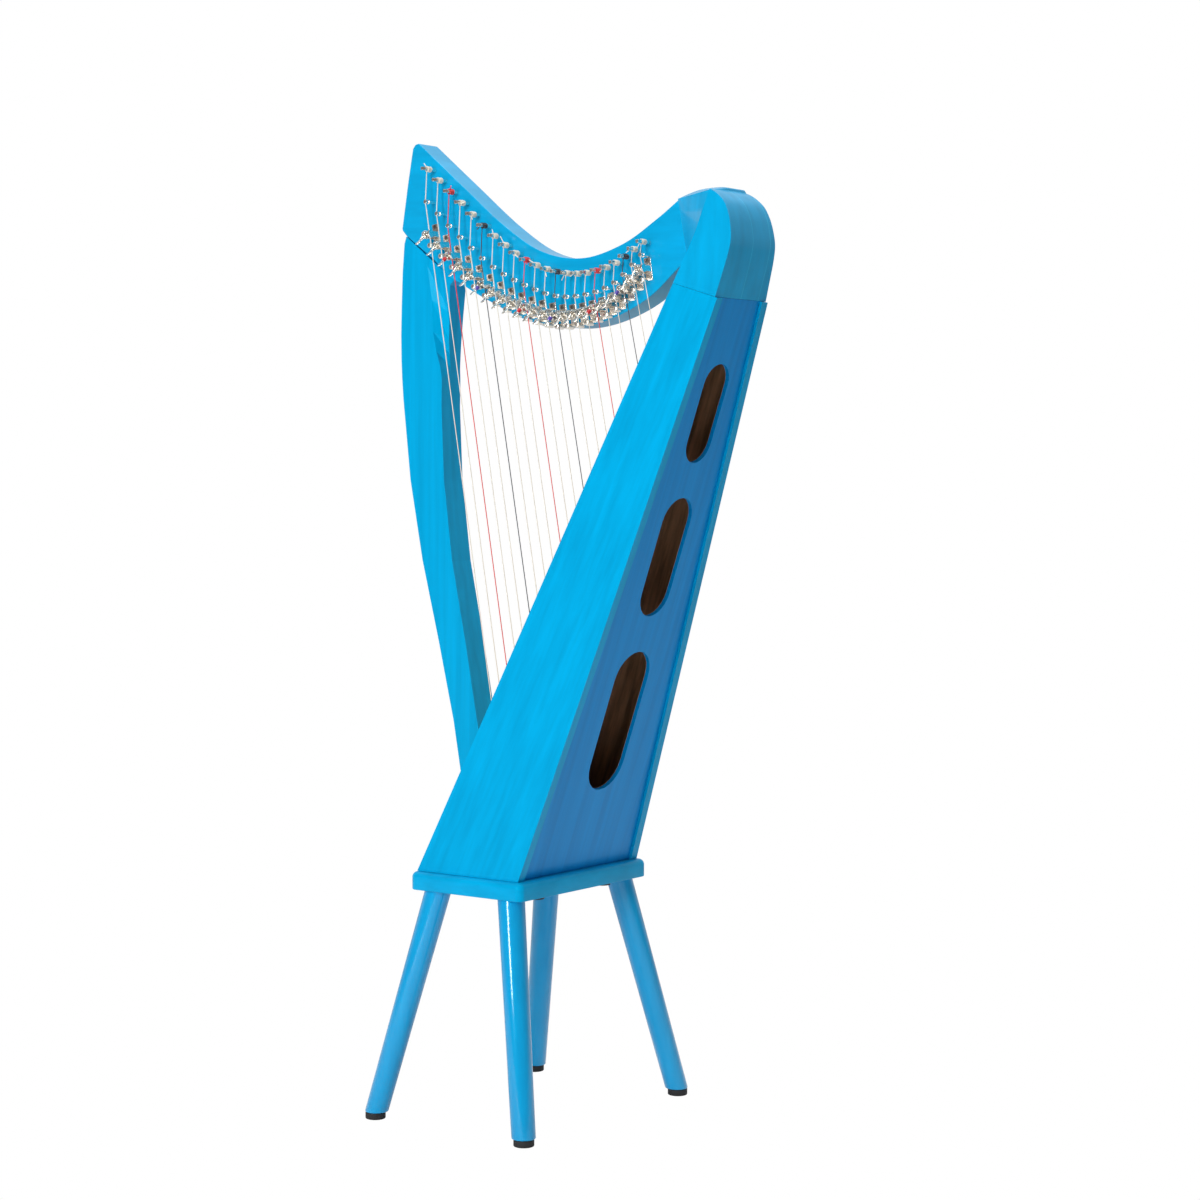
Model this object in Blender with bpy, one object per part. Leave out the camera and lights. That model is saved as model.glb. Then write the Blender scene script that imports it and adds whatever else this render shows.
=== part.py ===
"""A 22-string lever harp on a four-legged base, modelled in Blender.

Metres, +Z up. The origin is on the floor under the middle of the whole harp.
+X runs from the pillar to the back of the soundbox. Strings, levers and pins are on the -Y side.
Outline points are given from the middle of the base plate, which stands PLATE_X from the origin.
"""
import math

import bmesh
import bpy
import numpy as np
from mathutils import Matrix, Vector

# Base plate, bumpers and legs
PLATE_X = -0.0555
PLATE_LENGTH = 0.168
PLATE_WIDTH = 0.260
PLATE_THICKNESS = 0.022
PLATE_TOP = 0.2985
PLATE_EDGE_ROUND = 0.0070
PLATE_CORNER_ROUND = 0.0090
BUMPER_RADIUS = 0.0105
BUMPER_HEIGHT = 0.0055
BUMPER_AT = (0.060, 0.068)
LEG_TOP_AT = (0.055, 0.110)
LEG_FOOT_AT = (0.113, 0.160)
LEG_TOP_RADIUS = 0.0163
LEG_FOOT_RADIUS = 0.0142
FOOT_RADIUS = 0.0122
FOOT_HEIGHT = 0.0080

# Soundbox: a tapering box whose front and back edges lean away from the pillar
HALF_WIDTH = 0.122
SIDE_TAPER = 0.1003
FRONT_X = -0.0784
FRONT_LEAN = 0.4584
REAR_X = 0.0738
REAR_LEAN = 0.3377
SEAM_AT = (0.2410, 0.9953)
SEAM_SLOPE = -0.3026
SIDE_THICKNESS = 0.012
BACK_INSET = 0.0035
BACK_THICKNESS = 0.0055
SOUNDBOARD_THICKNESS = 0.005
GAP = 0.0003

# Sound holes: distance of each end up the back, and width
SOUND_HOLES = ((0.1042, 0.2819, 0.0687), (0.3267, 0.4747, 0.0587), (0.5176, 0.6382, 0.0500))

# Neck and pillar
NECK_THICKNESS = 0.037
NECK_TOP = ((-.1775, 1.1869), (-.1105, 1.1326), (-.0429, 1.0788), (.0150, 1.0447), (.0750, 1.0343),
            (.1333, 1.0483), (.1804, 1.0742), (.2150, 1.0973))
NECK_UNDER = ((.2300, 1.0310), (.2107, 1.0147), (.1755, .9863), (.1336, .9660), (.0872, .9540),
              (.0427, .9531), (-.0087, .9630), (-.0687, .9891), (-.1237, 1.0172))
HEAD = ((-.1237, 1.0172), (-.1569, 1.0444), (-.1971, 1.0732), (-.2033, 1.0798), (-.2041, 1.0822),
        (-.1952, 1.1365), (-.1870, 1.1807), (-.1830, 1.1858), (-.1775, 1.1869))
NECK_END = ((.2450, 1.0800), (.2450, 1.0400))
PILLAR_FRONT = ((-.1971, 1.0724), (-.2001, 1.0634), (-.2030, 1.0280), (-.2046, .9850), (-.2054, .9500),
                (-.2049, .9185), (-.2038, .8960), (-.2016, .8683), (-.1901, .7678), (-.1705, .6676),
                (-.1445, .5681), (-.1204, .4691), (-.1091, .4072), (-.0995, .3600), (-.0880, .3200),
                (-.0825, .3035))
PILLAR_INNER = ((-.1241, 1.0165), (-.1312, 1.0094), (-.1350, .9760), (-.1382, .9430), (-.1394, .9250),
                (-.1402, .9080), (-.1398, .8930), (-.1403, .8600), (-.1361, .7681), (-.1230, .6678),
                (-.1020, .5690), (-.0817, .4635), (-.0720, .4100), (-.0590, .3420), (-.0681, .3222),
                (-.0767, .3035))
SCOOP_WIDTH = (.034, .032, .021, .016, .0095, .002)
SCOOP_DEPTH = (.005, .005, .009, .012, .0150, .018)

# Shoulder: the block that joins the neck to the soundbox
SHOULDER_BACK = ((.2927, 1.0963), (.3038, 1.0863), (.3106, 1.0732), (.3144, 1.0597), (.3164, 1.0423),
                 (.3134, 1.0245), (.3080, 1.0053), (.3000, .9778))
SHOULDER_TOP = ((.2124, 1.0970), (.2279, 1.1021), (.2444, 1.1060), (.2650, 1.1073), (.2793, 1.1065),
                (.2820, 1.1027))
SHOULDER_SIDE_FRONT = ((.2411, .9956), (.2536, 1.0228), (.2661, 1.0500), (.2745, 1.0750), (.2822, 1.1000))
SHOULDER_MIDDLE_FRONT = ((.2322, .9983), (.2288, 1.0150), (.2250, 1.0340), (.2170, 1.0740))

# Strings
STRINGS = 22
BASS_STRING_X = -0.1290
STRING_SPACING = 0.0153
STRING_CLOSING = 0.0000225
STRING_SLANT = 0.155
STRING_LEVEL = 0.950
STRING_RADIUS = (0.00060, 0.00045)
STRING_SIDES = 6
STRING_OUT = 0.0150
STRING_AT_PIN = 0.0102
RIB_WIDTH = 0.020
RIB_THICKNESS = 0.004
RIB_ENDS = (0.352, 0.950)

# Bridge pins and tuning pins: heights at every third string, bass to treble
BRIDGE_HEIGHTS = (1.1119, 1.0659, 1.0275, 1.0040, .9894, .9897, 1.0020, 1.0327)
TUNING_RISES = (.0403, .0421, .0378, .0303, .0289, .0256, .0235, .0156)
BRIDGE_GROOVE_RADIUS = 0.0018
BRIDGE_HEAD_RADIUS = 0.0027
BRIDGE_SHANK_RADIUS = 0.0015
BRIDGE_LENGTH = 0.0195
TUNING_SHANK_RADIUS = 0.0025
TUNING_SLEEVE_RADIUS = 0.0035
TUNING_SLEEVE = (0.0080, 0.0170)
TUNING_SQUARE = 0.0042
TUNING_LENGTH = 0.0255
TUNING_DEPTH = 0.028

# Sharping levers
LEVER_DROP = (0.010, 0.041)
LEVER_AXIS_OUT = 0.0164
LEVER_REST = math.radians(35)
LEVER_LENGTH = 0.0224
LEVER_SIDE = -0.0060
DOME_RADIUS = 0.0055
AXLE_RADIUS = 0.0012
AXLE_ENDS = (-0.0050, 0.0017)
BRACKET_SIZE = (0.0095, 0.027, 0.002)
CHEEK_OUT = 0.0205
LEFT_CHEEK = (-0.0036, -0.0020)
RIGHT_CHEEK = (0.0020, 0.0046)
CHEEK_HALF = 0.0050
CHEEK_ROOT = 0.0005
BOSS_AT = (-0.0049, -0.0128)
BOSS_RADIUS = 0.0035
BOSS_OUT = 0.012
SUNK = 0.001

# Colours: base colour, roughness, metallic
MATERIALS = {
    "blue_lacquer": ((0.0, 0.42, 0.80), 0.25, 0.0),
    "spruce": ((0.72, 0.52, 0.30), 0.45, 0.0),
    "nickel": ((0.66, 0.64, 0.60), 0.25, 1.0),
    "string": ((0.85, 0.83, 0.76), 0.35, 0.0),
    "black_rubber": ((0.02, 0.02, 0.02), 0.80, 0.0),
}


def clear_scene():
    for obj in list(bpy.data.objects):
        bpy.data.objects.remove(obj, do_unlink=True)


def make_materials():
    for name, (colour, roughness, metallic) in MATERIALS.items():
        mat = bpy.data.materials.new(name)
        mat.use_nodes = True
        bsdf = mat.node_tree.nodes["Principled BSDF"]
        bsdf.inputs["Base Color"].default_value = (*colour, 1.0)
        bsdf.inputs["Roughness"].default_value = roughness
        bsdf.inputs["Metallic"].default_value = metallic


def make_object(name, rings, material, place=None, smooth=None):
    """Joins rings of points into one closed surface. Points that coincide are merged."""
    bm = bmesh.new()
    add_loft(bm, rings)
    return finish_object(name, bm, material, place, smooth)


def add_loft(bm, rings):
    loops = [[bm.verts.new(p) for p in ring] for ring in rings]
    count = len(loops[0])
    for lower, upper in zip(loops, loops[1:]):
        for i in range(count):
            j = (i + 1) % count
            bm.faces.new((lower[i], lower[j], upper[j], upper[i]))
    bm.faces.new(loops[0][::-1])
    bm.faces.new(loops[-1])


def finish_object(name, bm, material, place=None, smooth=None):
    bmesh.ops.remove_doubles(bm, verts=bm.verts, dist=0.00002)
    bmesh.ops.recalc_face_normals(bm, faces=bm.faces)
    mesh = bpy.data.meshes.new(name)
    bm.to_mesh(mesh)
    bm.free()
    obj = bpy.data.objects.new(name, mesh)
    bpy.context.scene.collection.objects.link(obj)
    obj.data.materials.append(bpy.data.materials[material])
    if place is not None:
        obj.matrix_world = place
    if smooth is not None:
        set_smooth(obj, smooth)
    return obj


def set_smooth(obj, angle):
    obj.data.shade_smooth()
    obj.data.set_sharp_from_angle(angle=math.radians(angle))


def combine(target, other, operation):
    """Unites the target with the other object, or cuts it, and removes the other object."""
    bpy.context.view_layer.update()
    modifier = target.modifiers.new("combine", "BOOLEAN")
    modifier.operation = operation
    modifier.solver = "EXACT"
    modifier.object = other
    depsgraph = bpy.context.evaluated_depsgraph_get()
    mesh = bpy.data.meshes.new_from_object(target.evaluated_get(depsgraph))
    target.modifiers.clear()
    target.data = mesh
    bpy.data.objects.remove(other, do_unlink=True)


def many(name, solids, material):
    """One object that holds several separate solids, each a list of rings."""
    bm = bmesh.new()
    for rings in solids:
        add_loft(bm, rings)
    return finish_object(name, bm, material)


def copies(name, places, material):
    """One object that holds a copy of each pattern at its place."""
    bm = bmesh.new()
    for pattern, place in places:
        before = len(bm.verts)
        bm.from_mesh(pattern.data)
        bm.verts.ensure_lookup_table()
        bmesh.ops.transform(bm, matrix=place, verts=bm.verts[before:])
    return finish_object(name, bm, material)


def curve_through(points, steps):
    """A smooth curve through the points, with this many steps between two of them."""
    pts = [np.array(p, float) for p in points]
    pts = [2 * pts[0] - pts[1], *pts, 2 * pts[-1] - pts[-2]]
    out = []
    for a, b, c, d in zip(pts, pts[1:], pts[2:], pts[3:]):
        for k in range(steps):
            t = k / steps
            out.append(0.5 * (2 * b + (c - a) * t + (2 * a - 5 * b + 4 * c - d) * t ** 2
                              + (3 * b - a - 3 * c + d) * t ** 3))
    out.append(pts[-2])
    return out


def circle(centre, radius, sides, across=(1, 0, 0), up=(0, 1, 0)):
    centre, across, up = Vector(centre), Vector(across), Vector(up)
    turns = [2 * math.pi * (i + 0.5) / sides for i in range(sides)]
    return [centre + radius * (math.cos(a) * across + math.sin(a) * up) for a in turns]


def turned(profile, sides, place=None):
    """Rings of a round piece that stands out to -Y. The profile is pairs of distance out and radius."""
    rings = [circle((0, -out, 0), radius, sides, (1, 0, 0), (0, 0, 1)) for out, radius in profile]
    if place is None:
        return rings
    return [[place @ p for p in ring] for ring in rings]


def flat_piece(points_xz, y_low, y_high):
    """Rings of a plate whose side view is the outline, from one depth to the other."""
    return [[(PLATE_X + x, y, z) for x, z in points_xz] for y in (y_low, y_high)]


def half_width(z):
    return HALF_WIDTH - SIDE_TAPER * (z - PLATE_TOP)


def edge_to_seam(x_at_plate, lean):
    """The two ends of a leaning line: just over the plate, and just under the shoulder's seam."""
    bottom = PLATE_TOP + GAP
    seam_x, seam_z = SEAM_AT
    z = (seam_z + SEAM_SLOPE * (x_at_plate - lean * PLATE_TOP - seam_x)) / (1 - SEAM_SLOPE * lean)
    return (x_at_plate + lean * GAP, bottom), (x_at_plate + lean * (z - PLATE_TOP), z)


def leaning_inset(distance, lean):
    return distance * math.hypot(1, lean)


def panel(front, rear, inner, outer):
    """Rings of a soundbox panel between two leaning lines and two depths that follow the taper."""
    (fb, ft), (rb, rt) = front, rear
    outline = (fb, rb, rt, ft)
    return [[(PLATE_X + x, depth(z), z) for x, z in outline] for depth in (inner, outer)]


def make_base():
    half_x, half_y = PLATE_LENGTH / 2, PLATE_WIDTH / 2
    underside = PLATE_TOP - PLATE_THICKNESS

    def ring(inset, z):
        corner = max(PLATE_CORNER_ROUND - inset, 0.0015)
        points = []
        for sx, sy, start in ((1, 1, 0), (-1, 1, 90), (-1, -1, 180), (1, -1, 270)):
            cx = PLATE_X + sx * (half_x - inset - corner)
            cy = sy * (half_y - inset - corner)
            for step in range(4):
                a = math.radians(start + 30 * step)
                points.append((cx + corner * math.cos(a), cy + corner * math.sin(a), z))
        return points

    rings = [ring(0.0015, underside), ring(0, underside + 0.0015)]
    for step in range(5):
        a = math.radians(22.5 * step)
        rings.append(ring(PLATE_EDGE_ROUND * (1 - math.cos(a)),
                          PLATE_TOP - PLATE_EDGE_ROUND * (1 - math.sin(a))))
    base = make_object("base_plate", rings, "blue_lacquer")
    bumpers = []
    for sx in (-1, 1):
        for sy in (-1, 1):
            at = (PLATE_X + sx * BUMPER_AT[0], sy * BUMPER_AT[1])
            levels = ((underside + SUNK, 1.0), (underside - 0.8 * BUMPER_HEIGHT, 1.0),
                      (underside - BUMPER_HEIGHT, 0.88))
            bumpers.append([circle((*at, z), share * BUMPER_RADIUS, 16) for z, share in levels])
    combine(base, many("bumpers", bumpers, "black_rubber"), "UNION")
    set_smooth(base, 35)


def make_legs():
    underside = PLATE_TOP - PLATE_THICKNESS
    for end, sx in (("front", -1), ("rear", 1)):
        for side, sy in (("left", -1), ("right", 1)):
            def axis_at(z):
                t = 1 - z / underside
                return (PLATE_X + sx * (LEG_TOP_AT[0] + t * (LEG_FOOT_AT[0] - LEG_TOP_AT[0])),
                        sy * (LEG_TOP_AT[1] + t * (LEG_FOOT_AT[1] - LEG_TOP_AT[1])), z)
            top = circle(axis_at(underside - GAP), LEG_TOP_RADIUS, 24)
            rings = [circle(axis_at(FOOT_HEIGHT + GAP), LEG_FOOT_RADIUS - 0.0015, 24),
                     circle(axis_at(FOOT_HEIGHT + GAP + 0.0015), LEG_FOOT_RADIUS, 24), top]
            make_object(f"leg_{end}_{side}", rings, "blue_lacquer", smooth=35)
            foot_x, foot_y, _ = axis_at(FOOT_HEIGHT / 2)
            rings = [circle((foot_x, foot_y, 0), FOOT_RADIUS - 0.001, 20),
                     circle((foot_x, foot_y, 0.001), FOOT_RADIUS, 20),
                     circle((foot_x, foot_y, FOOT_HEIGHT), FOOT_RADIUS, 20)]
            make_object(f"foot_{end}_{side}", rings, "black_rubber", smooth=35)


def make_soundbox():
    front = edge_to_seam(FRONT_X, FRONT_LEAN)
    rear = edge_to_seam(REAR_X, REAR_LEAN)
    wall = SIDE_THICKNESS * math.hypot(1, SIDE_TAPER)
    for name, side in (("side_left", -1), ("side_right", 1)):
        rings = panel(front, rear, lambda z: side * (half_width(z) - wall),
                      lambda z: side * half_width(z))
        make_object(name, rings, "blue_lacquer")

    def inside(z):
        return half_width(z) - wall - GAP

    inner_front = edge_to_seam(FRONT_X + leaning_inset(SOUNDBOARD_THICKNESS, FRONT_LEAN), FRONT_LEAN)
    rings = panel(front, inner_front, lambda z: -inside(z), inside)
    make_object("soundboard", rings, "spruce")

    back_outer = REAR_X - leaning_inset(BACK_INSET, REAR_LEAN)
    back_inner = back_outer - leaning_inset(BACK_THICKNESS, REAR_LEAN)
    rings = panel(edge_to_seam(back_inner, REAR_LEAN), edge_to_seam(back_outer, REAR_LEAN),
                  lambda z: -inside(z), inside)
    back = make_object("back_panel", rings, "blue_lacquer")
    combine(back, many("sound_hole_cutters", [hole_rings(*hole) for hole in SOUND_HOLES],
                       "blue_lacquer"), "DIFFERENCE")


def hole_rings(start, end, width):
    """A stadium-shaped cutter through the back, from one distance up the back to another."""
    along = Vector((REAR_LEAN, 0, 1)).normalized()
    out = Vector((1, 0, -REAR_LEAN)).normalized()
    foot = Vector((PLATE_X + REAR_X, 0, PLATE_TOP))
    radius = width / 2
    rings = []
    for depth in (-0.020, 0.010):
        ring = []
        for centre, first in ((end - radius, 0), (start + radius, 180)):
            for step in range(13):
                a = math.radians(first + 15 * step)
                ring.append(foot + out * depth + along * (centre + radius * math.sin(a))
                            + Vector((0, radius * math.cos(a), 0)))
        rings.append(ring)
    return rings


def string_x(index, z):
    x = BASS_STRING_X + STRING_SPACING * index - STRING_CLOSING * index ** 2
    return PLATE_X + x - STRING_SLANT * (z - STRING_LEVEL)


def along_strings(values, index):
    """The value at one string, on a smooth curve through a value for every third string."""
    curve = curve_through([(v,) for v in values], 3)
    return float(curve[index][0])


def string_radius(index):
    bass, treble = STRING_RADIUS
    return bass + (treble - bass) * index / (STRINGS - 1)


def bridge_point(index):
    z = along_strings(BRIDGE_HEIGHTS, index)
    x = string_x(index, z) + BRIDGE_GROOVE_RADIUS + GAP + string_radius(index)
    return Vector((x, 0, z))


def tuning_point(index):
    bridge = bridge_point(index)
    return Vector((bridge.x, 0, bridge.z + along_strings(TUNING_RISES, index)))


def string_foot(index):
    """Where the string meets the front of the rib."""
    rib_x = PLATE_X + FRONT_X - leaning_inset(RIB_THICKNESS + GAP, FRONT_LEAN)
    z = (string_x(index, 0) - rib_x + FRONT_LEAN * PLATE_TOP) / (FRONT_LEAN + STRING_SLANT)
    return Vector((string_x(index, z), 0, z))


def lever_point(index):
    bridge = bridge_point(index)
    drop = LEVER_DROP[0] + LEVER_DROP[1] * (bridge - string_foot(index)).length
    z = bridge.z - drop
    return Vector((string_x(index, z), 0, z))


def lever_frame(index):
    """Local X is the lever's axle, square to the string. Local Z runs up the string."""
    tilt = Matrix.Rotation(-math.atan(STRING_SLANT), 4, "Y")
    return Matrix.Translation(lever_point(index)) @ tilt


def bridge_profile():
    head, groove, end = BRIDGE_HEAD_RADIUS, BRIDGE_GROOVE_RADIUS, BRIDGE_LENGTH
    return ((-4 * SUNK, BRIDGE_SHANK_RADIUS), (STRING_OUT - 0.0026, BRIDGE_SHANK_RADIUS),
            (STRING_OUT - 0.0022, head), (STRING_OUT - 0.0016, head), (STRING_OUT - 0.0011, groove),
            (STRING_OUT + 0.0011, groove), (STRING_OUT + 0.0016, head), (end - 0.0006, head),
            (end, head - 0.0006))


def box_rings(size, centre):
    (sx, sy, sz), (cx, cy, cz) = size, centre
    return [[Vector((cx + a * sx / 2, y, cz + b * sz / 2)) for a, b in ((-1, -1), (1, -1), (1, 1), (-1, 1))]
            for y in (cy - sy / 2, cy + sy / 2)]


def bracket_base():
    width, height, thickness = BRACKET_SIZE
    return box_rings((width, thickness + SUNK, height), (0.0003, (SUNK - thickness) / 2, 0))


def left_cheek():
    """A plate with a slot that is open to the front and carries the axle."""
    slot = AXLE_RADIUS + GAP
    half, tip = CHEEK_HALF, CHEEK_OUT
    root = -CHEEK_ROOT
    outline = ((root, -half), (root, half), (-tip + 0.0015, half), (-tip, half - 0.0015), (-tip, slot),
               (-LEVER_AXIS_OUT + slot, slot), (-LEVER_AXIS_OUT + slot, -slot), (-tip, -slot),
               (-tip, -half + 0.0015), (-tip + 0.0015, -half))
    return [[Vector((x, y, z)) for y, z in outline] for x in LEFT_CHEEK]


def right_cheek():
    stem = 0.0035
    radius = DOME_RADIUS - 0.0003
    start = math.asin(stem / radius)
    outline = [(-CHEEK_ROOT, -stem), (-CHEEK_ROOT, stem)]
    for step in range(9):
        a = start + (2 * math.pi - 2 * start) * step / 8
        outline.append((-LEVER_AXIS_OUT + radius * math.cos(a), radius * math.sin(a)))
    return [[Vector((x, y, z)) for y, z in outline] for x in RIGHT_CHEEK]


def boss():
    x, z = BOSS_AT
    return [circle((x, -out, z), BOSS_RADIUS, 10, (1, 0, 0), (0, 0, 1)) for out in (-2 * SUNK, BOSS_OUT)]


def shoulder_rings():
    """Four outlines side by side: the two outer sides, and the two faces of the neck between them."""
    side = list(SHOULDER_SIDE_FRONT) + [SHOULDER_SIDE_FRONT[-1]] * 5 + list(SHOULDER_BACK)
    middle = list(SHOULDER_MIDDLE_FRONT) + list(SHOULDER_TOP) + list(SHOULDER_BACK)
    return [[(PLATE_X + x, -half_width(z), z) for x, z in side],
            [(PLATE_X + x, 0, z) for x, z in middle],
            [(PLATE_X + x, NECK_THICKNESS, z) for x, z in middle],
            [(PLATE_X + x, half_width(z), z) for x, z in side]]


def make_neck():
    top = curve_through(NECK_TOP, 4)
    under = curve_through(NECK_UNDER, 4)
    outline = top + list(NECK_END) + under + list(HEAD[1:-1])
    neck = make_object("neck", flat_piece(outline, 0, NECK_THICKNESS), "blue_lacquer")
    combine(neck, make_object("shoulder", shoulder_rings(), "blue_lacquer"), "UNION")
    bracket = make_object("bracket", bracket_base(), "nickel")
    for shape in (left_cheek(), right_cheek(), boss()):
        combine(bracket, make_object("bracket_piece", shape, "nickel"), "UNION")
    pin = make_object("bridge_pin", turned(bridge_profile(), 8), "nickel")
    places = [(bracket, lever_frame(i)) for i in range(STRINGS)]
    places += [(pin, Matrix.Translation(bridge_point(i))) for i in range(STRINGS)]
    combine(neck, copies("fittings", places, "nickel"), "UNION")
    for pattern in (bracket, pin):
        bpy.data.objects.remove(pattern, do_unlink=True)
    hole = ((0.001, TUNING_SHANK_RADIUS + GAP), (-TUNING_DEPTH - GAP, TUNING_SHANK_RADIUS + GAP))
    holes = [turned(hole, 12, Matrix.Translation(tuning_point(i))) for i in range(STRINGS)]
    combine(neck, many("pin_holes", holes, "blue_lacquer"), "DIFFERENCE")
    set_smooth(neck, 30)


def make_pillar():
    """A slender curved post. A twisting scoop runs down the top of its inner edge."""
    rings = []
    for level, ((front_x, front_z), (inner_x, inner_z)) in enumerate(zip(PILLAR_FRONT, PILLAR_INNER)):
        width = SCOOP_WIDTH[level] if level < len(SCOOP_WIDTH) else 0
        depth = SCOOP_DEPTH[level] if level < len(SCOOP_DEPTH) else 0
        share = width / (inner_x - front_x)
        cut_x, cut_z = inner_x - width, inner_z + share * (front_z - inner_z)
        rings.append([(PLATE_X + front_x, 0, front_z), (PLATE_X + cut_x, 0, cut_z),
                      (PLATE_X + inner_x, depth, inner_z), (PLATE_X + inner_x, NECK_THICKNESS, inner_z),
                      (PLATE_X + front_x, NECK_THICKNESS, front_z)])
    make_object("pillar", rings, "blue_lacquer", smooth=40)


def string_rings(index):
    """The rings of one string: from inside the rib, past the bridge pin, up to the tuning pin."""
    radius = string_radius(index)
    foot, bridge, pin = string_foot(index), bridge_point(index), tuning_point(index)
    start = Vector((string_x(index, bridge.z), -STRING_OUT, bridge.z))
    end = Vector((pin.x - TUNING_SLEEVE_RADIUS - GAP - radius, -STRING_AT_PIN, pin.z))
    sunk = foot + (foot - start).normalized() * 0.002
    points = (sunk, start, end)
    rings = []
    for i, point in enumerate(points):
        before = (point - points[max(i - 1, 0)]).normalized()
        after = (points[min(i + 1, 2)] - point).normalized()
        along = (before + after).normalized()
        across = Vector((0, 1, 0)).cross(along).normalized()
        rings.append(circle(point, radius, STRING_SIDES, across, along.cross(across)))
    return rings


def make_strings():
    low, high = RIB_ENDS
    near = leaning_inset(GAP, FRONT_LEAN)
    far = leaning_inset(GAP + RIB_THICKNESS, FRONT_LEAN)
    outline = []
    for z, inset in ((low, near), (high, near), (high, far), (low, far)):
        outline.append((FRONT_X + FRONT_LEAN * (z - PLATE_TOP) - inset, z))
    rib = make_object("strings", flat_piece(outline, -RIB_WIDTH / 2, RIB_WIDTH / 2), "string")
    combine(rib, many("string_set", [string_rings(i) for i in range(STRINGS)], "string"), "UNION")
    set_smooth(rib, 30)


def tuning_pin_rings():
    half = TUNING_SQUARE / 2
    sleeve_start, sleeve_end = TUNING_SLEEVE
    square = [(half, half / 2.4), (half / 2.4, half), (-half / 2.4, half), (-half, half / 2.4),
              (-half, -half / 2.4), (-half / 2.4, -half), (half / 2.4, -half), (half, -half / 2.4)]
    profile = ((-TUNING_DEPTH, TUNING_SHANK_RADIUS), (sleeve_start, TUNING_SHANK_RADIUS),
               (sleeve_start, TUNING_SLEEVE_RADIUS), (sleeve_end, TUNING_SLEEVE_RADIUS),
               (sleeve_end, TUNING_SHANK_RADIUS), (sleeve_end + 0.001, TUNING_SHANK_RADIUS))
    rings = turned(profile, 8)
    for out, share in ((sleeve_end + 0.0018, 1.0), (TUNING_LENGTH - 0.0005, 1.0), (TUNING_LENGTH, 0.8)):
        rings.append([Vector((share * x, -out, share * z)) for x, z in square])
    return rings


def make_tuning_pins():
    for i in range(STRINGS):
        make_object(f"tuning_pin_{i + 1:02d}", tuning_pin_rings(), "nickel",
                    Matrix.Translation(tuning_point(i)), smooth=35)


def lever_parts():
    """The dome on the axle, the axle, and the handle, about the lever's pivot."""
    dome = []
    for x, share in ((-.0080, .50), (-.0073, .84), (-.0062, .98), (-.0045, 1.0), (-.0039, .94)):
        dome.append(circle((x, 0, 0), share * DOME_RADIUS, 10, (0, 1, 0), (0, 0, 1)))
    axle = [circle((x, 0, 0), AXLE_RADIUS, 8, (0, 1, 0), (0, 0, 1)) for x in AXLE_ENDS]
    along = Vector((0, -math.cos(LEVER_REST), -math.sin(LEVER_REST)))
    thin = Vector((0, math.sin(LEVER_REST), -math.cos(LEVER_REST)))
    handle = []
    for share, half, depth in ((.13, .0016, .0022), (.36, .0013, .0014), (.54, .0013, .0012),
                               (.74, .0027, .0010), (.90, .0032, .0009), (1.0, .0021, .0007)):
        centre = Vector((LEVER_SIDE, 0, 0)) + along * share * LEVER_LENGTH
        handle.append(circle(centre, 1.0, 6, Vector((half, 0, 0)), thin * depth))
    return dome, axle, handle


def make_levers():
    dome, axle, handle = lever_parts()
    lever = make_object("lever_01", dome, "nickel")
    combine(lever, make_object("axle", axle, "nickel"), "UNION")
    combine(lever, make_object("handle", handle, "nickel"), "UNION")
    set_smooth(lever, 35)
    out = Matrix.Translation((0, -LEVER_AXIS_OUT, 0))
    for i in range(STRINGS):
        piece = lever
        if i:
            piece = bpy.data.objects.new(f"lever_{i + 1:02d}", lever.data.copy())
            bpy.context.scene.collection.objects.link(piece)
        piece.matrix_world = lever_frame(i) @ out


clear_scene()
make_materials()
make_base()
make_legs()
make_soundbox()
make_neck()
make_pillar()
make_strings()
make_tuning_pins()
make_levers()
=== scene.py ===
"""The look of a blue lever harp on its four-legged base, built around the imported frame."""
import math
import random

import bmesh
import bpy
import numpy as np
from mathutils import Matrix, Vector


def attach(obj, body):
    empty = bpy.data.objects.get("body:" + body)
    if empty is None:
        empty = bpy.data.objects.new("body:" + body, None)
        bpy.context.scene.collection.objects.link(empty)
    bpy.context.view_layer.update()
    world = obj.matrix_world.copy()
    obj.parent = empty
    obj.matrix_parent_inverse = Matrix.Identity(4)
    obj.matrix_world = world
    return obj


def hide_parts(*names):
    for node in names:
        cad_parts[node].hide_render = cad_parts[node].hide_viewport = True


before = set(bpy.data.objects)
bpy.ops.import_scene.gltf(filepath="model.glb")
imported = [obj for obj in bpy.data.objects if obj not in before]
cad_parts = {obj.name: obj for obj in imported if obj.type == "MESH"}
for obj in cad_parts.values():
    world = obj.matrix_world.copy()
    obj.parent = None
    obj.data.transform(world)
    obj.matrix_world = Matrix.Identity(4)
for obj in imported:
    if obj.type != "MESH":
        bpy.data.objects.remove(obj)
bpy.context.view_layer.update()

# Base plate, bumpers and legs
PLATE_X = -0.0555
PLATE_LENGTH = 0.168
PLATE_WIDTH = 0.260
PLATE_THICKNESS = 0.022
PLATE_TOP = 0.2985
PLATE_EDGE_ROUND = 0.0070
PLATE_CORNER_ROUND = 0.0090
BUMPER_RADIUS = 0.0105
BUMPER_HEIGHT = 0.0055
BUMPER_AT = (0.060, 0.068)
LEG_TOP_AT = (0.055, 0.110)
LEG_FOOT_AT = (0.113, 0.160)
LEG_TOP_RADIUS = 0.0163
LEG_FOOT_RADIUS = 0.0142
FOOT_RADIUS = 0.0122
FOOT_HEIGHT = 0.0080
PLATE_UNDERSIDE = PLATE_TOP - PLATE_THICKNESS
PLATE_CORNER_LEAST = 0.0020

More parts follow.
